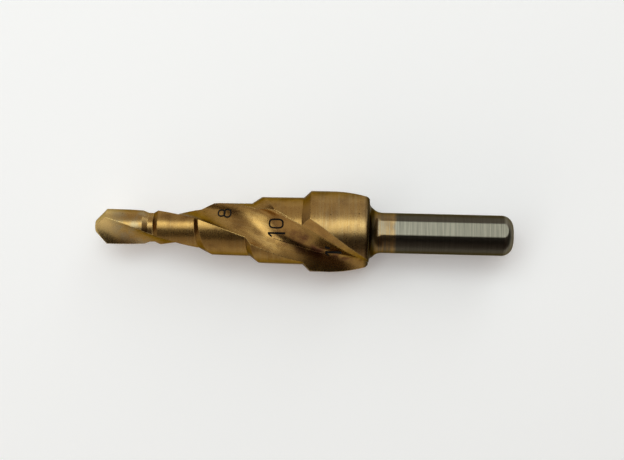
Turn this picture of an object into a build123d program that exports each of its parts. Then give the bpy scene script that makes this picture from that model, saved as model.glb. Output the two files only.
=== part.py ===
from build123d import *

import math
import os

# Step drill for holes of 6, 8, 10 and 12 mm, ground from one bar of high-speed steel.
#
# Millimetres. The drill lies along X, with its point towards -X and the middle of its shank's end
# at the origin. The shapes below are drawn with the point at zero, so that an X is a "station":
# the distance from the point. Angles about the axis run from +Z towards +Y.

OVERALL_LENGTH = 62.0

# Point and pilot
PILOT_DIAMETER = 5.2
POINT_ANGLE = 92.0          # included angle of the cone
BLUNT_DIAMETER = 1.7        # flat left on the worn tip
BLUNT_EDGE_RADIUS = 0.3
PILOT_END = 7.2             # station where the pilot's cylinder ends
NECK_DIAMETER = 4.5
NECK_START = 8.0
NECK_END = 8.75

# The four steps. FOOT is the station where a lip leaves the step before it, FULL the station
# where it reaches its own diameter.
STEP_6_DIAMETER = 6.0
STEP_6_FULL = 9.5
STEP_8_DIAMETER = 8.0
STEP_8_FOOT = 14.95
STEP_8_FULL = 15.6
STEP_10_DIAMETER = 10.0
STEP_10_FOOT = 22.6
STEP_10_FULL = 23.45
STEP_12_DIAMETER = 12.0
STEP_12_FOOT = 31.0
STEP_12_FULL = 32.05

# Relief behind the lips and lands of the two middle steps, a quarter turn behind the cutting edge
QUARTER_TURN = 90.0
STEP_8_FOOT_RELIEF = 0.55   # axial
STEP_8_FULL_RELIEF = 1.75   # axial
STEP_10_FOOT_RELIEF = 1.2   # axial
STEP_10_FULL_RELIEF = 2.3   # axial
LAND_RELIEF = 0.12          # radial
RELIEF_POWER = 1.5          # the axial relief starts gently at the cutting edge

# Relieved steps are shells wrapped round the bar; they overlap what lies under and behind them
SHELL_SINK = 0.6            # depth to which a shell is rooted in the bar
SHELL_OVERLAP = 3.0         # run of a shell under the step behind it
SHELL_AHEAD = 15.0          # turn of a shell ahead of its cutting edge, inside the flute
SHELL_BEHIND = 165.0        # turn of a shell behind it, past the heel
SHELL_PACE = 15.0           # turn between two profiles of a shell

# Rear shoulder and shank
SHOULDER_STATION = 40.7
SHOULDER_EDGE_RADIUS = 0.55
SHOULDER_FILLET = 2.0
SHANK_DIAMETER = 6.0
SHANK_END_RADIUS = 1.7
FLAT_COUNT = 3
FLAT_DEPTH = 0.2
FLAT_START = 41.6
FLAT_CORNER_RADIUS = 0.5
FIRST_FLAT_ANGLE = 16.0

# Flutes: one section carried along a right-hand helix. Square to the axis it has a straight rake
# wall, a wide bowl, a tight curl up the heel, and a flat ground along the heel.
FLUTE_COUNT = 2
FLUTE_LEAD = 58.5           # axial length of one full turn
FLUTE_ANGLE_AT_POINT = 164.6
CORE_RADIUS_AT_POINT = 1.055
CORE_TAPER = 0.062          # rise of the core radius per millimetre
BOWL_RADIUS_AT_POINT = 9.05
BOWL_TAPER = 0.097          # fall of the bowl radius per millimetre
RAKE_SIDE_TURN = 37.5       # turn of the bowl from its bottom to the rake wall
HEEL_SIDE_TURN = 13.6       # turn of the bowl from its bottom to the curl
CURL_RADIUS = 1.9
CURL_TURN = 48.0            # turn of the curl up to where it would meet the heel's flat
CREST_RADIUS = 0.8          # rounding between the curl and the heel's flat
HEEL_FLAT_LEAN = 10.8       # lean of the flat on the heel towards the axis
FLUTE_REACH = 9.0           # radius out to which the cutter is drawn
FLUTE_SPACING = 3.5         # distance between two sections of the cutter
FLUTE_OVERRUN = 2.5         # run of the cutter past the point and past the shoulder


def radial_direction(angle):
    """Unit vector square to the axis at an angle from +Z towards +Y."""
    turn = math.radians(angle)
    return (0, math.sin(turn), math.cos(turn))


def heading(angle):
    """Unit vector in the plane of a section, at an angle from the flute's middle direction."""
    turn = math.radians(angle)
    return Vector(math.cos(turn), math.sin(turn))


def meet_circle(start, direction, radius):
    """Where a ray from a start inside a circle about the axis meets that circle."""
    along = start.dot(direction)
    run = -along + math.sqrt(along**2 - start.dot(start) + radius**2)
    return start + direction * run


def flute_angle(station):
    """Middle direction of the first flute at a station."""
    return FLUTE_ANGLE_AT_POINT - 360 / FLUTE_LEAD * station


def bowl_at(station):
    """Centre and radius of the bowl in the section at a station."""
    radius = BOWL_RADIUS_AT_POINT - BOWL_TAPER * station
    core = CORE_RADIUS_AT_POINT + CORE_TAPER * station
    return Vector(core + radius, 0), radius


def rake_wall(station):
    """Foot and outward direction of the straight rake wall in the section at a station."""
    centre, radius = bowl_at(station)
    foot = centre - heading(RAKE_SIDE_TURN) * radius
    return foot, heading(RAKE_SIDE_TURN - QUARTER_TURN)


def cutting_edge_angle(station, radius):
    """Direction of the cutting edge that the first flute leaves at a station and radius."""
    edge = meet_circle(*rake_wall(station), radius)
    return flute_angle(station) + math.degrees(math.atan2(edge.Y, edge.X))


def flute_section(station):
    """Face square to the axis: the flute's outline, closed by an arc outside the drill."""
    centre, radius = bowl_at(station)
    foot, outward = rake_wall(station)
    bottom = centre - heading(0) * radius
    curl_start = centre - heading(-HEEL_SIDE_TURN) * radius
    curl_centre = curl_start + heading(-HEEL_SIDE_TURN) * CURL_RADIUS
    corner = curl_centre - heading(-HEEL_SIDE_TURN - CURL_TURN) * CURL_RADIUS
    flat_normal, flat_run = heading(HEEL_FLAT_LEAN), heading(QUARTER_TURN + HEEL_FLAT_LEAN)
    crest_centre = meet_circle(
        corner - flat_normal * CREST_RADIUS - curl_centre, flat_run, CURL_RADIUS + CREST_RADIUS
    ) + curl_centre
    crest_start = curl_centre + (crest_centre - curl_centre).normalized() * CURL_RADIUS
    crest_end = crest_centre + flat_normal * CREST_RADIUS
    crest_top = (crest_start + crest_end) / 2 - crest_centre
    crest_middle = crest_centre + crest_top.normalized() * CREST_RADIUS
    curl_top = (curl_start + crest_start) / 2 - curl_centre
    curl_middle = curl_centre + curl_top.normalized() * CURL_RADIUS
    rake_end = meet_circle(foot, outward, FLUTE_REACH)
    heel_end = meet_circle(crest_end, flat_run, FLUTE_REACH)
    outline = Wire(
        [
            Edge.make_line(rake_end, foot),
            Edge.make_three_point_arc(foot, bottom, curl_start),
            Edge.make_three_point_arc(curl_start, curl_middle, crest_start),
            Edge.make_three_point_arc(crest_start, crest_middle, crest_end),
            Edge.make_line(crest_end, heel_end),
            Edge.make_three_point_arc(heel_end, heading(0) * FLUTE_REACH, rake_end),
        ]
    )
    plane = Plane(
        origin=(station, 0, 0),
        x_dir=radial_direction(flute_angle(station)),
        z_dir=(-1, 0, 0),
    )
    return plane * Face(outline)


def flute_cutter():
    """Solid of one flute: its section carried along the helix while the core thickens."""
    run = SHOULDER_STATION + 2 * FLUTE_OVERRUN
    count = math.ceil(run / FLUTE_SPACING)
    stations = [run * i / count - FLUTE_OVERRUN for i in range(count + 1)]
    return loft([flute_section(station) for station in stations])


def relieved_step(foot, full, next_full, inner, outer, foot_relief, full_relief):
    """Shell of one step whose lip and land fall away behind the first flute's cutting edge.

    The profile in a half-plane through the axis is carried round the axis. It starts ahead of the
    cutting edge, in the flute, and ends behind the heel, in the other flute.
    """
    lip_angle = cutting_edge_angle(full, outer)
    end = next_full + SHELL_OVERLAP
    lip_turn = 360 / FLUTE_LEAD * (end - full)
    root_radius = STEP_6_DIAMETER / 2 - SHELL_SINK
    profiles = []
    for i in range(round((SHELL_AHEAD + SHELL_BEHIND) / SHELL_PACE) + 1):
        behind = SHELL_PACE * i - SHELL_AHEAD
        share = (max(behind, 0) / QUARTER_TURN) ** RELIEF_POWER
        foot_here = foot + foot_relief * share
        full_here = full + full_relief * share
        root = foot_here - (full_here - foot_here) * (inner - root_radius) / (outer - inner)
        outline = Wire.make_polygon(
            [
                Vector(root, root_radius),
                Vector(full_here, outer - LAND_RELIEF * behind / QUARTER_TURN),
                Vector(end, outer - LAND_RELIEF * (behind - lip_turn) / QUARTER_TURN),
                Vector(end, root_radius),
            ]
        )
        half_plane = Plane(
            origin=(0, 0, 0),
            x_dir=(1, 0, 0),
            z_dir=radial_direction(lip_angle - behind - QUARTER_TURN),
        )
        profiles.append(half_plane * Face(outline))
    return loft(profiles)


def rim(turned, station, radius):
    """The circular edges of a turned body at a station and radius."""
    tolerance = 1e-3
    return [
        edge
        for edge in turned.edges().filter_by(GeomType.CIRCLE)
        if abs(edge.center().X - station) < tolerance and abs(edge.radius - radius) < tolerance
    ]


def turned_bar():
    """Everything that is turned: point, pilot, neck, plain steps, rear shoulder and shank."""
    blunt, pilot, neck = BLUNT_DIAMETER / 2, PILOT_DIAMETER / 2, NECK_DIAMETER / 2
    step_6, step_10, step_12 = STEP_6_DIAMETER / 2, STEP_10_DIAMETER / 2, STEP_12_DIAMETER / 2
    shank = SHANK_DIAMETER / 2
    cone_end = (pilot - blunt) / math.tan(math.radians(POINT_ANGLE / 2))
    rise_12 = (STEP_12_FULL - STEP_12_FOOT) / (step_12 - step_10)
    root_12 = STEP_12_FOOT - SHELL_SINK * rise_12
    outline = make_face(
        Polyline(
            (0, 0),
            (0, blunt),
            (cone_end, pilot),
            (PILOT_END, pilot),
            (NECK_START, neck),
            (NECK_END, neck),
            (STEP_6_FULL, step_6),
            (root_12, step_6),
            (root_12, step_10 - SHELL_SINK),
            (STEP_12_FULL, step_12),
            (SHOULDER_STATION, step_12),
            (SHOULDER_STATION, shank),
            (OVERALL_LENGTH, shank),
            (OVERALL_LENGTH, 0),
            (0, 0),
        )
    )
    bar = revolve(outline, axis=Axis.X)
    bar = fillet(rim(bar, 0, blunt), BLUNT_EDGE_RADIUS)
    bar = fillet(rim(bar, SHOULDER_STATION, step_12), SHOULDER_EDGE_RADIUS)
    bar = fillet(rim(bar, SHOULDER_STATION, shank), SHOULDER_FILLET)
    return fillet(rim(bar, OVERALL_LENGTH, shank), SHANK_END_RADIUS)


def shank_flat(angle):
    """Cutter for one flat along the shank, with the rounded corner of its grinding wheel."""
    floor = SHANK_DIAMETER / 2 - FLAT_DEPTH
    length = OVERALL_LENGTH + SHANK_DIAMETER - FLAT_START
    side = Pos(FLAT_START, floor) * Rectangle(
        length, SHANK_DIAMETER, align=(Align.MIN, Align.MIN)
    )
    wheel_corner = side.vertices().sort_by(Axis.X)[:2].sort_by(Axis.Y)[0]
    side = fillet(wheel_corner, FLAT_CORNER_RADIUS)
    wheel = extrude(Plane.XZ * side, amount=SHANK_DIAMETER / 2, both=True)
    return Rot(-angle, 0, 0) * wheel


def around_axis(shape, count):
    """Copies of a shape spaced evenly about the axis."""
    return [Rot(360 / count * i, 0, 0) * shape for i in range(count)]


def step_drill():
    """The whole drill, with the end of its shank at the origin."""
    drill = turned_bar()
    step_6, step_8 = STEP_6_DIAMETER / 2, STEP_8_DIAMETER / 2
    step_10 = STEP_10_DIAMETER / 2
    shell_8 = relieved_step(
        STEP_8_FOOT, STEP_8_FULL, STEP_10_FULL, step_6, step_8,
        STEP_8_FOOT_RELIEF, STEP_8_FULL_RELIEF,
    )
    shell_10 = relieved_step(
        STEP_10_FOOT, STEP_10_FULL, STEP_12_FULL, step_8, step_10,
        STEP_10_FOOT_RELIEF, STEP_10_FULL_RELIEF,
    )
    for shell in around_axis(shell_8, FLUTE_COUNT) + around_axis(shell_10, FLUTE_COUNT):
        drill = drill + shell
    for flute in around_axis(flute_cutter(), FLUTE_COUNT):
        drill = drill - flute
    for i in range(FLAT_COUNT):
        drill = drill - shank_flat(FIRST_FLAT_ANGLE + 360 / FLAT_COUNT * i)
    return Pos(-OVERALL_LENGTH, 0, 0) * drill


if __name__ == "__main__":
    os.makedirs("parts", exist_ok=True)
    export_step(step_drill(), "parts/step_drill.step")
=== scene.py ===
import logging
import math
from dataclasses import dataclass, field
from enum import Enum

import bmesh
import bpy
import numpy as np
from mathutils import Matrix, Vector


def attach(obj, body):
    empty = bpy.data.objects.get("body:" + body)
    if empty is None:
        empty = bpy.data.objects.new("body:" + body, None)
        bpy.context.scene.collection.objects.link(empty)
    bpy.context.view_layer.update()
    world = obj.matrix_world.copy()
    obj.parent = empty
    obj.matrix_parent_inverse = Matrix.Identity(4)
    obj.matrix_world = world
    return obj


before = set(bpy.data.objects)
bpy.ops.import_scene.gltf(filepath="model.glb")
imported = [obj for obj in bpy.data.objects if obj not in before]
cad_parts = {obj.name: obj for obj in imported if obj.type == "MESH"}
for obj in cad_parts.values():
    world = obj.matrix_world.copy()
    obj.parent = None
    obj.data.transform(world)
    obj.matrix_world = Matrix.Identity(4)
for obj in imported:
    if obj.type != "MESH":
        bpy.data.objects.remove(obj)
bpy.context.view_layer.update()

LOG = logging.getLogger("step_drill")

DRILL_NODE = "step_drill"
BODY = "root"

MM = 0.001                 # metres in a millimetre
LENGTH = 62.0              # the drill's length in mm: X = station - LENGTH
LYING_HEIGHT = 6.0         # the axis stands this far above the floor, in mm
FLUTE_LEAD = 58.5          # axial run of one full turn of a flute, in mm
FLUTE_START = 164.6        # middle direction of the first flute at the point, in degrees
SEAM = 1e-7                # points nearer than this are one point, in metres

# Sockets of a Mix node: its factor; two numbers, which it mixes into output 0; and two
# colours, which it mixes into output 2.
FACTOR, LOW, HIGH, UNDER, OVER, MIXED = 0, 2, 3, 6, 7, 2


def linear(code: str) -> tuple[float, float, float, float]:
    """Turns an sRGB hex colour into linear RGBA.

    Args:
        code: six hex digits after a hash sign.

    Returns:
        Linear red, green and blue, with an alpha of one.
    """
    channels = [int(code[i:i + 2], 16) / 255 for i in (1, 3, 5)]
    curve = [c / 12.92 if c <= 0.04045 else ((c + 0.055) / 1.055) ** 2.4 for c in channels]
    return (*curve, 1.0)


def add(tree: bpy.types.NodeTree, kind: str, inputs: dict | None = None, out: int | str = 0,
        **settings: object) -> bpy.types.NodeSocket | None:
    """Adds a node to a tree with its settings, and links or fills its inputs.

    Args:
        tree: the node tree.
        kind: the node's type, without its leading "ShaderNode".
        inputs: what goes to each input, by name or number: a socket is linked, a value is set.
        out: name or number of the output to hand back.
        **settings: properties of the node itself.

    Returns:
        The chosen output socket, or nothing for a node that has none.
    """
    node = tree.nodes.new("ShaderNode" + kind)
    for name, value in settings.items():
        setattr(node, name, value)
    for key, value in (inputs or {}).items():
        if isinstance(value, bpy.types.NodeSocket):
            tree.links.new(value, node.inputs[key])
        else:
            node.inputs[key].default_value = value
    return node.outputs[out] if len(node.outputs) else None


def fresh_material(name: str) -> tuple[bpy.types.Material, bpy.types.NodeTree]:
    """Makes an empty node material.

    Args:
        name: the finish's plain name.

    Returns:
        The material and its cleared node tree.
    """
    material = bpy.data.materials.new(name)
    material.use_nodes = True
    material.node_tree.nodes.clear()
    return material, material.node_tree


def grid_mesh(name: str, points: np.ndarray, closed: bool = False) -> bpy.types.Object:
    """Puts a grid of points into a mesh, one face to each cell.

    Args:
        name: the object's name.
        points: array of rows, columns and x, y, z, in metres.
        closed: whether the last row joins the first.

    Returns:
        The object, linked to the scene, at the origin.
    """
    rows, columns = points.shape[:2]
    index = np.arange(rows * columns).reshape(rows, columns)
    following = np.roll(index, -1, axis=0) if closed else index[1:]
    start = index if closed else index[:-1]
    faces = np.stack([start[:, :-1], following[:, :-1], following[:, 1:], start[:, 1:]], axis=-1)
    mesh = bpy.data.meshes.new(name)
    mesh.from_pydata(points.reshape(-1, 3).tolist(), [], faces.reshape(-1, 4).tolist())
    mesh.update()
    piece = bpy.data.objects.new(name, mesh)
    bpy.context.scene.collection.objects.link(piece)
    return piece


def close_ends(piece: bpy.types.Object, closed: bool) -> None:
    """Merges a tube's doubled seam, closes its two ends, and points its faces outwards.

    Args:
        piece: the tube.
        closed: whether it is a loop, which has no ends.
    """
    work = bmesh.new()
    work.from_mesh(piece.data)
    bmesh.ops.remove_doubles(work, verts=work.verts, dist=SEAM)
    if not closed:
        bmesh.ops.holes_fill(work, edges=[e for e in work.edges if e.is_boundary], sides=0)
    bmesh.ops.recalc_face_normals(work, faces=work.faces)
    work.to_mesh(piece.data)
    work.free()


def arc(radius: float | np.ndarray, offset: np.ndarray) -> np.ndarray:
    """Height of a circle's arc over an offset from its centre, sqrt(r^2 - x^2)."""
    return np.sqrt(np.maximum(radius ** 2 - offset ** 2, 0.0))


def eased(share: np.ndarray) -> np.ndarray:
    """Holds a share between nought and one, and rounds its two ends: s^2 (3 - 2 s)."""
    share = np.clip(share, 0.0, 1.0)
    return share ** 2 * (3 - 2 * share)


@dataclass(frozen=True)
class FluteForm:
    """The floor of a flute, as the section that the grinding wheel left.

    The section turns with the flute: u runs along the flute's middle, away from the axis, and v
    across it, both in mm, and the middle's direction is M = FLUTE_START - 360 s / FLUTE_LEAD at
    the station s. The bowl is an arc about (core + bowl, 0). A tight curl follows it, then a
    rounded crest, and a flat that runs out to the heel. Each stretch gives u as a function of v.
    """

    core: float = 1.055           # half the steel left between the flutes at the point, in mm
    core_taper: float = 0.062     # how much it grows in a mm along the drill
    bowl: float = 9.05            # radius of the bowl at the point, in mm
    bowl_taper: float = 0.097     # how much it shrinks in a mm along the drill
    heel_turn: float = 13.6       # direction on the bowl's arc where the curl takes over, degrees
    curl: float = 1.9             # radius of the curl, in mm
    curl_turn: float = 48.0       # how far the curl would turn to the sharp corner, in degrees
    crest: float = 0.8            # radius that rounds that corner, in mm
    flat_lean: float = 10.8       # slope of the flat behind the crest, in degrees
    face_lean: float = 16.5       # slope of the ground face between the floor and the crest
    face_start: float = 25.7      # station where the face begins
    face_full: float = 28.4       # station from which it has its full height
    face_end: float = 40.6        # station where it runs out, at the shoulder
    face_runout: float = 0.9      # length over which it does, in mm
    face_blend: float = 0.16      # rounding between the face and the floor, in mm
    probe: float = 0.01           # half step over which a slope is measured, in mm
    rounds: int = 40              # steps of Newton's rule
    damping: float = 0.7          # share of each of them that is taken

    def cut(self, v: np.ndarray, station: np.ndarray) -> tuple[np.ndarray, np.ndarray, np.ndarray]:
        """Height u of the floor as the wheel left it, over a place v at a station.

        Bowl: u = c - sqrt(R^2 - v^2). Curl: the same about its own centre. Crest: the arc of
        radius p that touches the curl from outside and the flat from inside,
        u = a + sqrt(p^2 - (v - b)^2). Flat: u = corner_u - (v - corner_v) tan(lean).

        Args:
            v: places across the flute, in mm.
            station: distances from the point, in mm.

        Returns:
            Heights u, and the crest's centre (u and v), in mm.
        """
        bowl = self.bowl - self.bowl_taper * station
        middle = self.core + self.core_taper * station + bowl
        start, turn = math.radians(self.heel_turn), math.radians(self.heel_turn + self.curl_turn)
        lean = math.radians(self.flat_lean)
        curl_u = middle - (bowl - self.curl) * math.cos(start)
        curl_v = (bowl - self.curl) * math.sin(start)
        corner_u = curl_u - self.curl * math.cos(turn)
        corner_v = curl_v + self.curl * math.sin(turn)

        # Crest centre: distance p inside the flat, distance curl + p from the curl's centre.
        inner_u = corner_u - self.crest * math.cos(lean) - curl_u
        inner_v = corner_v - self.crest * math.sin(lean) - curl_v
        along = -inner_u * math.sin(lean) + inner_v * math.cos(lean)
        spare = inner_u ** 2 + inner_v ** 2 - (self.curl + self.crest) ** 2
        slide = -along + np.sqrt(along ** 2 - spare)
        crest_u = curl_u + inner_u - slide * math.sin(lean)
        crest_v = curl_v + inner_v + slide * math.cos(lean)
        reach = self.curl / (self.curl + self.crest)

        in_bowl = v < curl_v + self.curl * math.sin(start)
        in_curl = v < curl_v + reach * (crest_v - curl_v)
        in_crest = v < crest_v + self.crest * math.sin(lean)
        flat = corner_u - (v - corner_v) * math.tan(lean)
        crest = crest_u + arc(self.crest, v - crest_v)
        curl = curl_u - arc(self.curl, v - curl_v)
        height = np.where(in_bowl, middle - arc(bowl, v),
                          np.where(in_curl, curl, np.where(in_crest, crest, flat)))
        return height, crest_u, crest_v

    def floor(self, v: np.ndarray, station: np.ndarray) -> np.ndarray:
        """Height u of the floor with its ground heel face, over a place v at a station.

        The face is the line of slope tan(lean) that touches the crest; it meets the floor in a
        smooth maximum, (a + b + sqrt((a - b)^2 + r^2)) / 2, and fades at the face's two ends.

        Args:
            v: places across the flute, in mm.
            station: distances from the point, in mm.

        Returns:
            Heights u, in mm.
        """
        cut, crest_u, crest_v = self.cut(v, station)
        lean = math.radians(self.face_lean)
        touch_u = crest_u + self.crest * math.cos(lean)
        touch_v = crest_v - self.crest * math.sin(lean)
        line = touch_u - (touch_v - v) * math.tan(lean)
        blend = self.face_blend * np.clip(touch_v - v, 0.0, 1.0)
        smooth = (cut + line + np.sqrt((cut - line) ** 2 + blend ** 2)) / 2
        rise = eased((station - self.face_start) / (self.face_full - self.face_start))
        fall = eased((self.face_end - station) / self.face_runout)
        return np.where(v < touch_v, cut + rise * fall * (smooth - cut), cut)

    def slope(self, v: np.ndarray, station: np.ndarray) -> np.ndarray:
        """Slope of the floor across the flute, as the rise over a short step on both sides."""
        step = self.probe
        return (self.floor(v + step, station) - self.floor(v - step, station)) / (2 * step)

    def turn(self, station: np.ndarray) -> tuple[np.ndarray, np.ndarray]:
        """Sine and cosine of the flute's middle direction M at a station."""
        middle = np.radians(FLUTE_START - 360 / FLUTE_LEAD * station)
        return np.sin(middle), np.cos(middle)

    def place(self, u: np.ndarray, v: np.ndarray, station: np.ndarray) -> np.ndarray:
        """Carries points of the turning section to the drill's own frame.

        x = s - LENGTH, y = u sin M + v cos M, z = u cos M - v sin M.

        Args:
            u: heights along the flute's middle, in mm.
            v: places across the flute, in mm.
            station: distances from the point, in mm.

        Returns:
            Array of x, y, z in metres.
        """
        sine, cosine = self.turn(station)
        x = np.broadcast_to(station - LENGTH, np.shape(u))
        return np.stack([x, u * sine + v * cosine, u * cosine - v * sine], axis=-1) * MM

    def lift(self, station: np.ndarray, y: np.ndarray, proud: float) -> np.ndarray:
        """Finds the points of the flute's floor that lie over given stations and y.

        y = u(v) sin M + v cos M is solved for v by Newton's rule, on whole arrays. The normal
        is (1, -u') in (u, v).

        Args:
            station: distances from the point, in mm.
            y: places across the drill, in mm.
            proud: how far the points stand off the floor, in mm.

        Returns:
            Array of x, y, z in metres.
        """
        sine, cosine = self.turn(station)
        v = y * cosine
        for _ in range(self.rounds):
            miss = self.floor(v, station) * sine + v * cosine - y
            v = v - self.damping * miss / (self.slope(v, station) * sine + cosine)
        slope = self.slope(v, station)
        size = np.sqrt(1 + slope ** 2)
        u = self.floor(v, station) + proud / size
        return self.place(u, v - proud * slope / size, station)


@dataclass(frozen=True)
class HeelFace:
    """The ground face on the heel side of a flute: a thin closed blade over the flute's curl."""

    name: str
    turned: bool                  # whether it lies in the second flute, half a turn round
    form: FluteForm = FluteForm()
    inner: float = -1.3           # where it starts across the flute, in the bowl, in mm
    sunk: float = 0.03            # how far its borders dip into the steel, in mm
    depth: float = 0.12           # how far its under side lies below the floor, in mm
    rings: int = 260
    columns: int = 44

    def build(self, material: bpy.types.Material) -> bpy.types.Object:
        """Builds the blade.

        Each station's ring goes over the face, v from the bowl to the crest's line of touch,
        and back under the floor. The rings follow the flute.

        Args:
            material: the drill's finish.

        Returns:
            The piece.
        """
        form = self.form
        stations = np.linspace(form.face_start, form.face_end, self.rings)[:, None]
        share = np.linspace(0.0, 1.0, self.columns)[None, :]
        crest_v = form.cut(np.zeros_like(stations), stations)[2]
        touch = crest_v - form.crest * math.sin(math.radians(form.face_lean))
        across = self.inner + (touch - self.inner) * share
        over = form.floor(across, stations)
        over[:, [0, -1]] -= self.sunk
        over[[0, -1]] -= self.sunk
        under = form.cut(across, stations)[0] - self.depth
        u = np.concatenate([over, under[:, ::-1]], axis=1)
        v = np.concatenate([across, across[:, ::-1]], axis=1)
        side = -1.0 if self.turned else 1.0
        points = form.place(side * u, side * v, stations)
        points = np.concatenate([points, points[:, :1]], axis=1)
        piece = grid_mesh(self.name, points)
        close_ends(piece, closed=False)
        piece.data.shade_smooth()
        piece.data.materials.append(material)
        return piece


@dataclass(frozen=True)
class Fade:
    """A share that follows a value: its first up to the start, and its last from the end on."""

    start: float
    end: float
    last: float = 1.0
    first: float = 0.0

    @property
    def limits(self) -> dict[str, float]:
        """The four numbers by the names of a Map Range node's inputs."""
        return {"From Min": self.start, "From Max": self.end,
                "To Min": self.first, "To Max": self.last}


@dataclass(frozen=True)
class Grain:
    """A noise pattern's size and make-up."""

    scale: float                  # patches in a mm
    detail: float                 # how many finer layers it has
    roughness: float = 0.5        # how strong each finer layer is

    @property
    def inputs(self) -> dict[str, float]:
        """The three numbers by the names of a Noise Texture node's inputs."""
        return {"Scale": self.scale, "Detail": self.detail, "Roughness": self.roughness}


class Trait(Enum):
    """What the finish knows of a shaded point, for wear, stain and painted light to go by."""

    STATION = "distance from the point, in mm"
    HEIGHT = "height over the core, in mm"
    FORWARD = "how far the surface looks towards the point, from 0 to -1"
    HOLLOW = "one in the flutes"
    LAND = "one on the lands"
    MOTTLE = "slow noise"
    LINES = "grinding lines"
    POINT = "distance from the point, made ragged by the slow noise, in mm"
    PIT = "distance from the middle of the nearest pit, as a share of the pits' spacing"
    EDGE = "one on a flat surface, and less across an edge"


class Curve(Enum):
    """How a share goes from its first to its last."""

    STRAIGHT = "LINEAR"
    EASED = "SMOOTHSTEP"


@dataclass(frozen=True)
class WearAndPaintedLight:
    """One layer of wear, stain, painted shade or painted highlight: the colour it leaves, and where
    it lies.

    Its share is the product of its traits, each through its fade, or as it is where it has none.
    """

    colour: str
    where: tuple[tuple[Trait, Fade | None], ...]
    curve: Curve = Curve.EASED

    def lay(self, tree: bpy.types.NodeTree, known: dict[Trait, bpy.types.NodeSocket],
            under: bpy.types.NodeSocket) -> bpy.types.NodeSocket:
        """Lays this layer over a colour.

        Args:
            tree: the material's node tree.
            known: each trait of the shaded point.
            under: the colour so far.

        Returns:
            The colour with this layer.
        """
        share = 1.0
        for trait, fade in self.where:
            value = known[trait]
            if fade is not None:
                value = add(tree, "MapRange", {"Value": value, **fade.limits},
                            interpolation_type=self.curve.value)
            share = add(tree, "Math", {0: share, 1: value}, operation="MULTIPLY")
        return add(tree, "Mix", {FACTOR: share, UNDER: under, OVER: linear(self.colour)}, MIXED,
                   data_type="RGBA")


@dataclass(frozen=True)
class NitrideCoat:
    """Titanium nitride, vapour-coated on ground steel: a warm gold metal with a satin gloss.

    The coat is thin, so the ground lines show through it and its gold shifts towards bronze in
    slow patches. Seen along the surface, it mirrors nearly white.
    """

    gold: str = "#916F3D"
    bronze: str = "#6C4E2B"
    pale: str = "#9D8457"
    rubbed: str = "#9A8A6A"       # rubbed thin by use, with steel showing through
    bright_wear_and_highlight: str = "#C8AC70"          # worn nearly through at the point, with painted highlight there and on edges
    pit: str = "#20160D"          # chipped down to dark steel
    painted_trough_shade: str = "#543026"      # painted shade low in the flutes, red-brown as gold mirrored in gold
    grazing: str = "#B2AA98"      # the metal's reflection seen along the surface
    roughness: float = 0.30       # on the lands
    flute_roughness: float = 0.27
    thin: Fade = Fade(0.45, 0.75)           # slow noise over which the gold turns to bronze
    bright_line: Fade = Fade(0.5, 0.8, 0.35)    # height of a ground line over which it pales

    @property
    def wear_and_painted_light(self) -> tuple[WearAndPaintedLight, ...]:
        """The wear, stain, painted shade and painted highlights of the coat.

        Returns:
            Its layers, in the order in which they are laid over the fresh coat.
        """
        return (
            # Painted shade in patches, low in the rear half of the flutes.
            WearAndPaintedLight(self.painted_trough_shade, ((Trait.STATION, Fade(25.0, 33.0, 0.8)), (Trait.HOLLOW, None),
                                (Trait.HEIGHT, Fade(1.3, 0.3)), (Trait.MOTTLE, Fade(0.35, 0.6)))),
            # Lips that have gone dull, apart from the point's.
            WearAndPaintedLight(self.bronze, ((Trait.FORWARD, Fade(-0.5, -0.6, 0.6)),
                               (Trait.STATION, Fade(3.5, 4.5))), Curve.STRAIGHT),
            # The largest step's land, rubbed along its ground lines.
            WearAndPaintedLight(self.rubbed, ((Trait.STATION, Fade(31.0, 34.5, 0.30)), (Trait.LAND, None),
                               (Trait.LINES, Fade(0.10, 0.90)))),
            # The pilot, rubbed in patches.
            WearAndPaintedLight(self.rubbed, ((Trait.STATION, Fade(9.2, 7.0, 0.75)),
                               (Trait.MOTTLE, Fade(0.36, 0.70)))),
            # The point, worn bright, with a painted highlight laid over the wear.
            WearAndPaintedLight(self.bright_wear_and_highlight, ((Trait.POINT, Fade(6.6, 2.4, 0.95)),)),
            # A few pits where the coat has chipped, each about 0.2 mm across.
            WearAndPaintedLight(self.pit, ((Trait.PIT, Fade(0.05, 0.025, 0.85)),)),
            # Edges beside the flutes: a bright line, partly wear and partly painted highlight.
            WearAndPaintedLight(self.bright_wear_and_highlight, ((Trait.EDGE, Fade(0.995, 0.95, 0.9)), (Trait.HOLLOW, None))),
        )


@dataclass(frozen=True)
class BareSteel:
    """High-speed steel, cross-ground and uncoated: a warm grey metal, rougher than the coat.

    Its flats are bright with dark scratches, and its rounds have a dark even scale.
    """

    grey: str = "#767062"
    dark: str = "#5F5A4F"
    scale: str = "#3F3A31"        # rounds left as they came from hardening
    painted_neck_reflection: str = "#2C2920"       # behind the largest step: painted dark reflection of the surround
    roughness: float = 0.32
    scratch: Fade = Fade(0.35, 0.65)        # height of a ground line, from dark to grey
    round: Fade = Fade(2.95, 2.99, 0.8)     # radius, in mm, from a flat to a round
    neck_reflection_front: Fade = Fade(39.9, 40.5, 0.9)
    neck_reflection_rear: Fade = Fade(41.9, 41.3)


@dataclass
class SectionFrame:
    """The node sockets that say where a shaded point lies on the drill."""

    mm: bpy.types.NodeSocket        # x, y, z in mm
    station: bpy.types.NodeSocket   # distance from the point, in mm
    radius: bpy.types.NodeSocket    # distance from the axis, in mm
    outward: bpy.types.NodeSocket   # how far the surface looks away from the axis
    axial: bpy.types.NodeSocket     # the normal's x
    flute: bpy.types.NodeSocket     # place in the section that turns with the flutes, in mm


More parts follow.
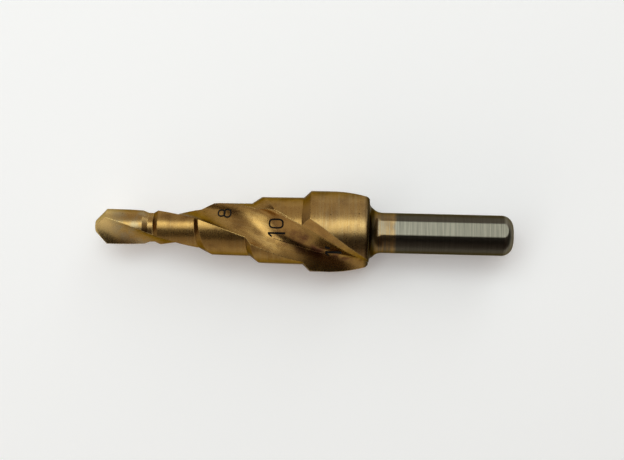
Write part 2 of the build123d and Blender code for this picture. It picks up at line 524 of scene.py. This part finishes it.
@dataclass
class GroundPattern:
    """The node sockets of the patterns that the finish is made of."""

    land: bpy.types.NodeSocket      # one on the lands, lips and shank, nought in the flutes
    turned: bpy.types.NodeSocket    # lines round the axis
    lines: bpy.types.NodeSocket     # those on the lands, and lines along the helix in the flutes
    mottle: bpy.types.NodeSocket    # slow change of the coat's thickness
    speckle: bpy.types.NodeSocket   # fine grit
    rounded: bpy.types.NodeSocket   # the normal with its edges rounded


@dataclass(frozen=True)
class DrillFinish:
    """The ground steel of the whole drill: nitride coat in front, bare steel on the shank."""

    coat: NitrideCoat = NitrideCoat()
    steel: BareSteel = BareSteel()
    form: FluteForm = FluteForm()

    # Where things are. A land looks out from the axis and stands clear of the core.
    land_rise: float = 0.745      # how far over the core a land begins, in mm
    land_clear: Fade = Fade(0.0, 0.15)      # height over that, in mm
    land_outward: Fade = Fade(0.93, 0.97)
    lip_forward: Fade = Fade(-0.5, -0.58)
    shank_start: Fade = Fade(40.5, 41.0)    # station

    # Patterns. The real ground lines are about 0.02 mm wide; these are as coarse as shows.
    turned_line: float = 0.16     # width of a line on a land, in mm
    turned_run: float = 0.12      # its changes in a mm round the axis
    flute_line: float = 0.22      # width of a line in a flute, in mm
    flute_run: float = 0.25       # its changes in a mm along the helix
    line: Grain = Grain(1.0, 3.0)
    mottle: Grain = Grain(0.45, 4.0, 0.6)
    grit: Grain = Grain(5.0, 2.0)
    pits: float = 0.42            # pits in a mm
    point_rag: float = 3.0        # how ragged the end of the point's wear and painted highlight is, in mm

    # How the coat ends on the shank: thin and streaked at first, then a fuller line, then bare.
    coat_end: Fade = Fade(44.45, 45.15)     # ragged station
    coat_thin: Fade = Fade(41.5, 42.0)      # station
    coat_line: Fade = Fade(44.2, 44.6, 0.4, first=1.0)
    coat_streak: Fade = Fade(0.35, 0.65, 0.80, first=0.30)
    coat_rag: float = 0.8         # how ragged its end is, in mm

    # Relief.
    grit_gloss: Fade = Fade(0.3, 0.7, 0.04, first=-0.04)
    grit_relief: float = 0.35     # grit's height beside a ground line's
    relief: float = 0.26
    line_depth: float = 0.02      # in mm
    edge: float = 0.13            # reach of the rounded normal, and of the bright line of wear and painted highlight, along an edge, in mm
    edge_samples: int = 6

    def place(self, tree: bpy.types.NodeTree) -> SectionFrame:
        """Works out where a point lies: station, radius, and place in the turning section.

        station = x + length; radius = |(y, z)|; the section turns by M(s) = start - 360 s / lead,
        so (v, u) = (y, z) turned back by M.

        Args:
            tree: the material's node tree.

        Returns:
            The sockets.
        """
        coords = add(tree, "TexCoord", out="Object")
        normal = coords.node.outputs["Normal"]
        mm = add(tree, "VectorMath", {0: coords, "Scale": 1 / MM}, operation="SCALE")
        along = add(tree, "SeparateXYZ", {0: mm}, "X")
        station = add(tree, "Math", {0: along, 1: LENGTH}, operation="ADD")
        across = add(tree, "VectorMath", {0: mm, 1: (0, 1, 1)}, operation="MULTIPLY")
        radius = add(tree, "VectorMath", {0: across}, "Value", operation="LENGTH")
        radial = add(tree, "VectorMath", {0: across}, operation="NORMALIZE")
        outward = add(tree, "VectorMath", {0: radial, 1: normal}, "Value", operation="DOT_PRODUCT")
        axial = add(tree, "SeparateXYZ", {0: normal}, "X")
        turn = add(tree, "Math", {0: station, 1: -2 * math.pi / FLUTE_LEAD,
                                  2: math.radians(FLUTE_START)}, operation="MULTIPLY_ADD")
        flute = add(tree, "VectorRotate", {"Vector": across, "Angle": turn}, rotation_type="X_AXIS")
        return SectionFrame(mm, station, radius, outward, axial, flute)

    def land_mask(self, tree: bpy.types.NodeTree, at: SectionFrame) -> bpy.types.NodeSocket:
        """One on the lands, lips and shank, nought in the flutes.

        A land looks straight out from the axis and stands clear of the core, which grows along
        the drill: radius > core + taper * station + rise.

        Args:
            tree: the material's node tree.
            at: where the point lies.

        Returns:
            The mask.
        """
        foot = add(tree, "Math", {0: at.station, 1: self.form.core_taper,
                                  2: self.form.core + self.land_rise}, operation="MULTIPLY_ADD")
        proud = add(tree, "Math", {0: at.radius, 1: foot}, operation="SUBTRACT")
        clear = add(tree, "MapRange", {"Value": proud, **self.land_clear.limits})
        round_face = add(tree, "MapRange", {"Value": at.outward, **self.land_outward.limits})
        lip = add(tree, "MapRange", {"Value": at.axial, **self.lip_forward.limits})
        face = add(tree, "Math", {0: round_face, 1: lip}, operation="MAXIMUM")
        front = add(tree, "Math", {0: face, 1: clear}, operation="MULTIPLY")
        rear = add(tree, "MapRange", {"Value": at.station, **self.shank_start.limits})
        return add(tree, "Math", {0: front, 1: rear}, operation="MAXIMUM")

    def patterns(self, tree: bpy.types.NodeTree, at: SectionFrame) -> GroundPattern:
        """Lays out the ground lines, the coat's mottle, the grit and the rounded edges.

        A line is noise squeezed across it: on the lands along x, and in the flutes across the
        turning section, with a slow run along the helix.

        Args:
            tree: the material's node tree.
            at: where the point lies.

        Returns:
            The sockets.
        """
        land = self.land_mask(tree, at)
        around = add(tree, "VectorMath", {
            0: at.mm, 1: (1 / self.turned_line, self.turned_run, self.turned_run)},
            operation="MULTIPLY")
        turned = add(tree, "TexNoise", {"Vector": around, **self.line.inputs}, "Fac")
        helix = add(tree, "VectorMath", {
            0: at.flute, 1: (0, 1 / self.flute_line, 1 / self.flute_line)}, operation="MULTIPLY")
        run = add(tree, "CombineXYZ", {"X": at.station})
        slow = add(tree, "VectorMath", {0: run, 1: (self.flute_run, 0, 0)}, operation="MULTIPLY")
        thread = add(tree, "VectorMath", {0: helix, 1: slow}, operation="ADD")
        ground = add(tree, "TexNoise", {"Vector": thread, **self.line.inputs}, "Fac")
        lines = add(tree, "Mix", {FACTOR: land, LOW: ground, HIGH: turned})
        mottle = add(tree, "TexNoise", {"Vector": at.mm, **self.mottle.inputs}, "Fac")
        speckle = add(tree, "TexNoise", {"Vector": at.mm, **self.grit.inputs}, "Fac")
        rounded = add(tree, "Bevel", {"Radius": self.edge * MM}, samples=self.edge_samples)
        return GroundPattern(land, turned, lines, mottle, speckle, rounded)

    def gold(self, tree: bpy.types.NodeTree, at: SectionFrame,
             ground: GroundPattern) -> bpy.types.NodeSocket:
        """Colours the coat: fresh gold, bronze patches and pale lines, and then its wear, stain,
        painted shade and painted highlights.

        Args:
            tree: the material's node tree.
            at: where the point lies.
            ground: the patterns.

        Returns:
            The worn coat's colour.
        """
        coat = self.coat
        deep = add(tree, "MapRange", {"Value": ground.mottle, **coat.thin.limits})
        light = add(tree, "MapRange", {"Value": ground.lines, **coat.bright_line.limits})
        colour = add(tree, "Mix", {FACTOR: deep, UNDER: linear(coat.gold),
                                   OVER: linear(coat.bronze)}, MIXED, data_type="RGBA")
        colour = add(tree, "Mix", {FACTOR: light, UNDER: colour, OVER: linear(coat.pale)}, MIXED,
                     data_type="RGBA")

        core = add(tree, "Math", {0: at.station, 1: self.form.core_taper, 2: self.form.core},
                   operation="MULTIPLY_ADD")
        flat = add(tree, "NewGeometry", out="Normal")
        known = {
            Trait.STATION: at.station,
            Trait.HEIGHT: add(tree, "Math", {0: at.radius, 1: core}, operation="SUBTRACT"),
            Trait.FORWARD: at.axial,
            Trait.HOLLOW: add(tree, "Math", {0: 1.0, 1: ground.land}, operation="SUBTRACT"),
            Trait.LAND: ground.land,
            Trait.MOTTLE: ground.mottle,
            Trait.LINES: ground.lines,
            Trait.POINT: add(tree, "Math", {0: ground.mottle, 1: self.point_rag, 2: at.station},
                             operation="MULTIPLY_ADD"),
            Trait.PIT: add(tree, "TexVoronoi", {"Vector": at.mm, "Scale": self.pits}, "Distance"),
            Trait.EDGE: add(tree, "VectorMath", {0: ground.rounded, 1: flat}, "Value",
                            operation="DOT_PRODUCT"),
        }
        for wear_and_painted_light in coat.wear_and_painted_light:
            colour = wear_and_painted_light.lay(tree, known, colour)
        return colour

    def grey(self, tree: bpy.types.NodeTree, at: SectionFrame,
             ground: GroundPattern) -> bpy.types.NodeSocket:
        """Colours the shank: scratched grey flats and dark rounds.

        Args:
            tree: the material's node tree.
            at: where the point lies.
            ground: the patterns.

        Returns:
            The bare steel's colour.
        """
        steel = self.steel
        scratch = add(tree, "MapRange", {"Value": ground.turned, **steel.scratch.limits})
        colour = add(tree, "Mix", {FACTOR: scratch, UNDER: linear(steel.dark),
                                   OVER: linear(steel.grey)}, MIXED, data_type="RGBA")
        scaled = add(tree, "MapRange", {"Value": at.radius, **steel.round.limits})
        return add(tree, "Mix", {FACTOR: scaled, UNDER: colour, OVER: linear(steel.scale)}, MIXED,
                   data_type="RGBA")

    def bareness(self, tree: bpy.types.NodeTree, at: SectionFrame,
                 ground: GroundPattern) -> bpy.types.NodeSocket:
        """Ends the coat: it thins over the shank's root along the ground lines, and stops.

        Args:
            tree: the material's node tree.
            at: where the point lies.
            ground: the patterns.

        Returns:
            One where the steel is bare.
        """
        ragged = add(tree, "Math", {0: ground.mottle, 1: self.coat_rag, 2: at.station},
                     operation="MULTIPLY_ADD")
        bare = add(tree, "MapRange", {"Value": ragged, **self.coat_end.limits})
        thin = add(tree, "MapRange", {"Value": at.station, **self.coat_thin.limits})
        full = add(tree, "MapRange", {"Value": ragged, **self.coat_line.limits})
        streak = add(tree, "MapRange", {"Value": ground.turned, **self.coat_streak.limits})
        thin = add(tree, "Math", {0: thin, 1: streak}, operation="MULTIPLY")
        thin = add(tree, "Math", {0: thin, 1: full}, operation="MULTIPLY")
        return add(tree, "Math", {0: bare, 1: thin}, operation="MAXIMUM")

    def gloss(self, tree: bpy.types.NodeTree, ground: GroundPattern,
              bare: bpy.types.NodeSocket) -> bpy.types.NodeSocket:
        """Sets the roughness: the coat's in the flutes and on the lands, the steel's, and grit.

        Args:
            tree: the material's node tree.
            ground: the patterns.
            bare: one where the steel is bare.

        Returns:
            The roughness.
        """
        coat = add(tree, "Mix", {FACTOR: ground.land, LOW: self.coat.flute_roughness,
                                 HIGH: self.coat.roughness})
        rough = add(tree, "Mix", {FACTOR: bare, LOW: coat, HIGH: self.steel.roughness})
        grit = add(tree, "MapRange", {"Value": ground.speckle, **self.grit_gloss.limits})
        return add(tree, "Math", {0: rough, 1: grit}, operation="ADD")

    def build(self) -> bpy.types.Material:
        """Builds the material.

        Returns:
            The one material of the drill and its heel faces.
        """
        material, tree = fresh_material("titanium_nitride_on_ground_high_speed_steel")
        at = self.place(tree)
        ground = self.patterns(tree, at)
        bare = self.bareness(tree, at, ground)
        colour = add(tree, "Mix", {FACTOR: bare, UNDER: self.gold(tree, at, ground),
                                   OVER: self.grey(tree, at, ground)}, MIXED, data_type="RGBA")
        # The neck behind the largest step, darkened near-black: a painted dark reflection.
        fore = add(tree, "MapRange", {"Value": at.station, **self.steel.neck_reflection_front.limits})
        aft = add(tree, "MapRange", {"Value": at.station, **self.steel.neck_reflection_rear.limits})
        painted_neck_reflection = add(tree, "Math", {0: fore, 1: aft}, operation="MULTIPLY")
        colour = add(tree, "Mix", {FACTOR: painted_neck_reflection, UNDER: colour,
                                   OVER: linear(self.steel.painted_neck_reflection)}, MIXED, data_type="RGBA")

        relief = add(tree, "Math", {0: ground.speckle, 1: self.grit_relief, 2: ground.lines},
                     operation="MULTIPLY_ADD")
        bump = add(tree, "Bump", {"Height": relief, "Strength": self.relief,
                                  "Distance": self.line_depth * MM, "Normal": ground.rounded})
        shader = add(tree, "BsdfPrincipled", {
            "Base Color": colour, "Metallic": 1.0, "Roughness": self.gloss(tree, ground, bare),
            "Normal": bump, "Specular Tint": linear(self.coat.grazing)})
        add(tree, "OutputMaterial", {"Surface": shader})
        return material


@dataclass(frozen=True)
class BurntMark:
    """Oxide that a laser has burnt through the coat: nearly black and dull, with browner specks."""

    oxide: str = "#0D0A08"
    worn: str = "#2A1E14"         # specks where it has worn thin
    roughness: float = 0.80
    gloss: float = 0.12
    speck: Grain = Grain(6.0, 2.0)
    thin: Fade = Fade(0.55, 0.75)           # height of a speck over which it browns
    relief: float = 0.3
    speck_depth: float = 0.01     # in mm

    def build(self) -> bpy.types.Material:
        """Builds the oxide's material.

        Returns:
            The material.
        """
        material, tree = fresh_material("laser_burnt_oxide")
        coords = add(tree, "TexCoord", out="Object")
        mm = add(tree, "VectorMath", {0: coords, "Scale": 1 / MM}, operation="SCALE")
        speck = add(tree, "TexNoise", {"Vector": mm, **self.speck.inputs}, "Fac")
        thin = add(tree, "MapRange", {"Value": speck, **self.thin.limits})
        colour = add(tree, "Mix", {FACTOR: thin, UNDER: linear(self.oxide),
                                   OVER: linear(self.worn)}, MIXED, data_type="RGBA")
        bump = add(tree, "Bump", {"Height": speck, "Strength": self.relief,
                                  "Distance": self.speck_depth * MM})
        shader = add(tree, "BsdfPrincipled", {
            "Base Color": colour, "Roughness": self.roughness, "Normal": bump,
            "Specular IOR Level": self.gloss})
        add(tree, "OutputMaterial", {"Surface": shader})
        return material


class Digit(Enum):
    """The strokes of the size numbers' digits."""

    NOUGHT = "0"
    ONE = "1"
    ONE_FLAG = "flag of 1"
    TWO = "worn top of 2"
    EIGHT_TOP = "top of 8"
    EIGHT_FOOT = "foot of 8"

    @property
    def closed(self) -> bool:
        """Whether the stroke is a loop."""
        return self in LOOPS

    def stroke(self, count: int = 49) -> np.ndarray:
        """Centre line of the stroke in a unit box, reading rightwards and upwards.

        Loops are superellipses: centre + half size * sign(w) |w|^(2/n), w = (cos t, sin t).
        The others run straight from knot to knot.

        Args:
            count: number of points, with a loop's first point counted again at its end.

        Returns:
            Array of points, across and up.
        """
        if self.closed:
            centre, half, power = LOOPS[self]
            t = np.linspace(0, 2 * math.pi, count)[:-1]
            w = np.stack([np.cos(t), np.sin(t)], axis=-1)
            return np.array(centre) + np.array(half) * np.sign(w) * np.abs(w) ** (2 / power)
        knots = np.array(LINES[self])
        span = np.linspace(0, 1, len(knots))
        t = np.linspace(0, 1, count)
        return np.stack([np.interp(t, span, knots[:, i]) for i in (0, 1)], axis=-1)


# Each loop's centre, half size and power, and each line's knots, in the digit's unit box.
LOOPS = {
    Digit.NOUGHT: ((0.5, 0.5), (0.5, 0.5), 3.2),
    Digit.EIGHT_TOP: ((0.5, 0.74), (0.40, 0.26), 2.2),
    Digit.EIGHT_FOOT: ((0.5, 0.27), (0.5, 0.27), 2.2),
}
LINES = {
    Digit.ONE: ((0.7, 0.0), (0.7, 1.0)),
    Digit.ONE_FLAG: ((0.6, 0.97), (0.0, 0.76)),
    Digit.TWO: ((0.0, 0.70), (0.08, 0.90), (0.30, 1.0)),
}


@dataclass(frozen=True)
class SizeNumber:
    """Strokes of one size number, which reads across the drill with its top to the point."""

    name: str
    digits: tuple[Digit, ...]
    foot: float               # station of the digits' feet, in mm
    top: float                # station of their tops, in mm
    left: float               # y of their left side, in mm
    right: float              # y of their right side, in mm
    width: float              # width of a stroke, in mm
    form: FluteForm = FluteForm()
    height: float = 0.045     # how far the oxide stands proud, in mm
    shoulder: float = 0.7     # share of that at a stroke's sides
    sunk: float = 0.05        # how far a stroke's sides reach down into the steel, in mm

    def rings(self, digit: Digit) -> np.ndarray:
        """Carries a stroke's low arched profile along its centre line, over the flute.

        The profile is (-w/2, -sunk), (-w/2, shoulder height), (0, height), (w/2, shoulder
        height), (w/2, -sunk), and closes under the surface.

        Args:
            digit: the stroke.

        Returns:
            Grid of points: along the stroke, round its profile, x y z, in metres.
        """
        line = digit.stroke()
        station = self.foot + (self.top - self.foot) * line[:, 1]
        y = self.left + (self.right - self.left) * line[:, 0]
        path = np.stack([station, y], axis=-1)
        if digit.closed:
            ahead = np.roll(path, -1, axis=0) - np.roll(path, 1, axis=0)
        else:
            ahead = np.gradient(path, axis=0)
        ahead /= np.linalg.norm(ahead, axis=1, keepdims=True)
        side = np.stack([-ahead[:, 1], ahead[:, 0]], axis=-1)
        half, shoulder = self.width / 2, self.shoulder * self.height
        profile = ((-half, -self.sunk), (-half, shoulder), (0.0, self.height), (half, shoulder),
                   (half, -self.sunk), (-half, -self.sunk))
        rings = []
        for across, proud in profile:
            at = path + side * across
            rings.append(self.form.lift(at[:, 0], at[:, 1], proud))
        return np.stack(rings, axis=1)

    def build(self, material: bpy.types.Material) -> list[bpy.types.Object]:
        """Builds the strokes, one piece to each.

        Args:
            material: the oxide.

        Returns:
            The pieces.
        """
        pieces = []
        for i, digit in enumerate(self.digits):
            name = f"{self.name}_{i}" if len(self.digits) > 1 else self.name
            piece = grid_mesh(name, self.rings(digit), digit.closed)
            close_ends(piece, digit.closed)
            piece.data.materials.append(material)
            pieces.append(piece)
        return pieces


@dataclass(frozen=True)
class SizeMarks:
    """The size numbers burnt on the heel side of the flute, one for each larger step.

    The 12 is half worn away: its 1 and the top of its 2 are left.
    """

    finish: BurntMark = BurntMark()
    numbers: tuple[SizeNumber, ...] = (
        SizeNumber("mark_8", (Digit.EIGHT_TOP, Digit.EIGHT_FOOT), 20.2, 18.3, 1.78, 2.95, 0.21),
        SizeNumber("mark_10_nought", (Digit.NOUGHT,), 28.05, 26.05, 0.37, 1.62, 0.24),
        SizeNumber("mark_10_one", (Digit.ONE,), 28.4, 25.85, -0.93, -0.18, 0.30),
        SizeNumber("mark_10_flag", (Digit.ONE_FLAG,), 28.4, 25.85, -0.93, -0.18, 0.24),
        SizeNumber("mark_12_one", (Digit.ONE,), 36.7, 34.3, -3.42, -2.87, 0.32),
        SizeNumber("mark_12_flag", (Digit.ONE_FLAG,), 36.5, 34.3, -3.52, -2.97, 0.20),
        SizeNumber("mark_12_two", (Digit.TWO,), 36.6, 34.3, -2.45, -1.55, 0.26),
    )

    def build(self) -> list[bpy.types.Object]:
        """Builds every number's strokes.

        Returns:
            The pieces.
        """
        material = self.finish.build()
        return [piece for number in self.numbers for piece in number.build(material)]


@dataclass(frozen=True)
class PaperFloor:
    """Matt white card: even, with no gloss, and a shade whiter to what looks at it."""

    white: str = "#F7F3F2"
    roughness: float = 0.95
    gloss: float = 0.1
    lift: float = 0.14          # light added for the rays that look at the card

    def build(self) -> bpy.types.Material:
        """Builds the floor's material.

        The added light is seen by camera, glossy and transmission rays alike, so that metal
        mirrors the same white card; the card still takes the drill's shadow.

        Returns:
            The material.
        """
        material, tree = fresh_material("matt_white_card")
        path = add(tree, "LightPath", out="Is Camera Ray").node
        seen = add(tree, "Math", {0: path.outputs["Is Camera Ray"],
                                  1: path.outputs["Is Glossy Ray"]}, operation="MAXIMUM")
        seen = add(tree, "Math", {0: seen, 1: path.outputs["Is Transmission Ray"]},
                   operation="MAXIMUM")
        glow = add(tree, "Math", {0: seen, 1: self.lift}, operation="MULTIPLY")
        shader = add(tree, "BsdfPrincipled", {
            "Base Color": linear(self.white), "Roughness": self.roughness,
            "Specular IOR Level": self.gloss, "Emission Color": linear(self.white),
            "Emission Strength": glow})
        add(tree, "OutputMaterial", {"Surface": shader})
        return material


@dataclass(frozen=True)
class FlagCloth:
    """Dark brown cloth on a frame: it keeps light off one side, and has no gloss at all."""

    brown: str = "#2A1C16"

    def build(self) -> bpy.types.Material:
        """Builds the flag's material.

        Returns:
            The material.
        """
        material, tree = fresh_material("dark_brown_cloth")
        shader = add(tree, "BsdfPrincipled", {
            "Base Color": linear(self.brown), "Roughness": 1.0, "Specular IOR Level": 0.0})
        add(tree, "OutputMaterial", {"Surface": shader})
        return material


@dataclass(frozen=True)
class Softbox:
    """A rectangular lamp behind cloth, held over the drill and square to it."""

    name: str
    lean: float                 # degrees from straight up, towards +Y
    spread: float               # degrees that it covers about the drill's axis
    radiance: float
    tint: str
    distance: float = 0.5       # metres
    length: float = 0.6         # metres, along the drill
    along: float = 0.0          # x of its middle, in metres

    def build(self, aim: Vector) -> bpy.types.Object:
        """Adds the lamp. A lamp of power P and area A has the radiance P / (pi A).

        Args:
            aim: the point that it faces.

        Returns:
            The lamp.
        """
        width = 2 * self.distance * math.tan(math.radians(self.spread / 2))
        lamp = bpy.data.lights.new(self.name, "AREA")
        lamp.shape = "RECTANGLE"
        lamp.size, lamp.size_y = self.length, width
        lamp.energy = self.radiance * math.pi * self.length * width
        lamp.color = linear(self.tint)[:3]
        holder = bpy.data.objects.new(self.name, lamp)
        turn = math.radians(self.lean)
        away = Vector((0, math.sin(turn), math.cos(turn)))
        holder.location = Vector((self.along, aim.y, aim.z)) + away * self.distance
        holder.rotation_euler = (-turn, 0, 0)
        bpy.context.scene.collection.objects.link(holder)
        return holder


@dataclass(frozen=True)
class RoomSide:
    """A side of the room that is darker or brighter than the rest: a cone about a direction."""

    direction: tuple[float, float, float]
    edge: float                 # dot product at which it starts
    heart: float                # dot product at which it is full
    colour: str


@dataclass
class Studio:
    """A matt white floor, an even grey surround, softboxes above, and a dark flag beside them."""

    aim: Vector = field(default_factory=lambda: Vector((-0.031, 0.0, 0.0)))
    floor_half: float = 1.5     # half the floor's width, in metres
    surround: str = "#DBD5CE"
    surround_strength: float = 1.0
    sides: tuple[RoomSide, ...] = (
        RoomSide((0.63, -0.63, 0.44), 0.57, 0.88, "#4A3830"),
        RoomSide((-0.71, -0.66, 0.24), 0.88, 0.97, "#FFF8F0"),
        RoomSide((-1.0, 0.0, 0.0), 0.78, 0.95, "#6A584C"),
        RoomSide((-0.62, 0.70, 0.37), 0.90, 0.985, "#5A4A40"),
        RoomSide((1.0, 0.0, 0.1), 0.55, 0.90, "#3E3E3A"),
    )
    flag_lean: float = -26.0    # degrees from straight up, towards +Y
    flag_spread: float = 48.0   # degrees that it covers about the drill's axis
    flag_distance: float = 0.45     # metres
    flag_length: float = 0.29   # metres, along the drill
    boxes: tuple[Softbox, ...] = (
        Softbox("softbox_wide", 18.5, 37.0, 1.90, "#E1F4FA", length=0.42, along=-0.14),
        Softbox("softbox_core", 24.0, 17.0, 1.80, "#E8F8FA", distance=0.49, length=0.40,
                along=-0.08),
        Softbox("softbox_rear", 55.0, 38.0, 1.80, "#E1F4FA", length=0.22, along=0.17),
        Softbox("softbox_front", -8.0, 34.0, 1.60, "#E1F4FA", length=0.17, along=-0.39),
    )

    def floor(self) -> bpy.types.Object:
        """Lays the floor under the drill: z = -LYING_HEIGHT, x and y over a square.

        Returns:
            The floor.
        """
        line = np.linspace(-self.floor_half, self.floor_half, 3)
        x, y = np.meshgrid(line, line, indexing="ij")
        points = np.stack([x, y, np.full_like(x, -LYING_HEIGHT * MM)], axis=-1)
        floor = grid_mesh("floor", points)
        floor.data.materials.append(PaperFloor().build())
        return floor

    def flag(self) -> bpy.types.Object:
        """Holds the flag: points on the plane square to its direction, facing the drill.

        Returns:
            The flag.
        """
        turn = math.radians(self.flag_lean)
        away = np.array([0, math.sin(turn), math.cos(turn)])
        across = np.array([0, math.cos(turn), -math.sin(turn)])
        half = self.flag_distance * math.tan(math.radians(self.flag_spread / 2))
        x, w = np.meshgrid([-self.flag_length / 2, self.flag_length / 2], [-half, half],
                           indexing="ij")
        middle = np.array(self.aim) + away * self.flag_distance
        points = middle + x[..., None] * np.array([1.0, 0, 0]) + w[..., None] * across
        flag = grid_mesh("flag", points)
        flag.data.materials.append(FlagCloth().build())
        return flag

    def world(self) -> bpy.types.World:
        """Fills the surround with even light that changes softly towards its sides.

        Each side is a cone about a direction d: its share goes from 0 to 1 as the view
        direction's dot product with d goes from the cone's edge to its heart.

        Returns:
            The world.
        """
        world = bpy.data.worlds.new("soft_surround")
        world.use_nodes = True
        tree = world.node_tree
        tree.nodes.clear()
        look = add(tree, "TexCoord", out="Generated")
        colour = linear(self.surround)
        for side in self.sides:
            towards = tuple(Vector(side.direction).normalized())
            near = add(tree, "VectorMath", {0: look, 1: towards}, "Value", operation="DOT_PRODUCT")
            share = add(tree, "MapRange", {"Value": near, **Fade(side.edge, side.heart).limits},
                        interpolation_type=Curve.EASED.value)
            colour = add(tree, "Mix", {FACTOR: share, UNDER: colour, OVER: linear(side.colour)},
                         MIXED, data_type="RGBA")
        light = add(tree, "Background", {"Color": colour, "Strength": self.surround_strength})
        add(tree, "OutputWorld", {"Surface": light})
        bpy.context.scene.world = world
        return world

    def build(self) -> None:
        """Builds the floor, flag, surround and lamps."""
        self.floor()
        self.flag()
        self.world()
        for box in self.boxes:
            box.build(self.aim)


@dataclass(frozen=True)
class Viewpoint:
    """A camera straight above the drill, a little towards its shank, and turned slightly."""

    place: tuple[float, float, float] = (-0.02509, 0.00018, 0.1909)
    tilt: float = 1.398         # degrees that the view leans towards the shank
    roll: float = 1.40          # degrees
    focal: float = 74.08        # mm
    sensor: float = 36.0        # mm, the sensor's width
    near: float = 0.005         # metres, the nearest that it sees

    def build(self) -> bpy.types.Object:
        """Adds the camera: back = (sin tilt, 0, cos tilt), with right and up rolled about it.

        Returns:
            The camera.
        """
        tilt, roll = math.radians(self.tilt), math.radians(self.roll)
        back = Vector((math.sin(tilt), 0, math.cos(tilt)))
        level = Vector((0, 1, 0)).cross(back)
        right = level * math.cos(roll) + Vector((0, 1, 0)) * math.sin(roll)
        up = back.cross(right)
        data = bpy.data.cameras.new("camera")
        data.sensor_width = self.sensor
        data.lens = self.focal
        data.clip_start = self.near
        camera = bpy.data.objects.new("camera", data)
        camera.matrix_world = Matrix.Translation(self.place) @ Matrix(
            (right, up, back)).transposed().to_4x4()
        bpy.context.scene.collection.objects.link(camera)
        bpy.context.scene.camera = camera
        return camera


def main() -> None:
    """Dresses the drill, lays its heel faces and marks, and sets the studio and the camera."""
    logging.basicConfig(level=logging.INFO, format="%(message)s")
    finish = DrillFinish().build()
    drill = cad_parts[DRILL_NODE]
    drill.data.materials.clear()
    drill.data.materials.append(finish)
    LOG.info("%s: %s", DRILL_NODE, finish.name)
    faces = [HeelFace("heel_face_a", turned=False), HeelFace("heel_face_b", turned=True)]
    for piece in [face.build(finish) for face in faces] + SizeMarks().build():
        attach(piece, BODY)
        LOG.info("%s: %d faces", piece.name, len(piece.data.polygons))
    Studio().build()
    Viewpoint().build()
    bpy.context.scene.view_settings.view_transform = "Standard"


if __name__ == "__main__":
    main()
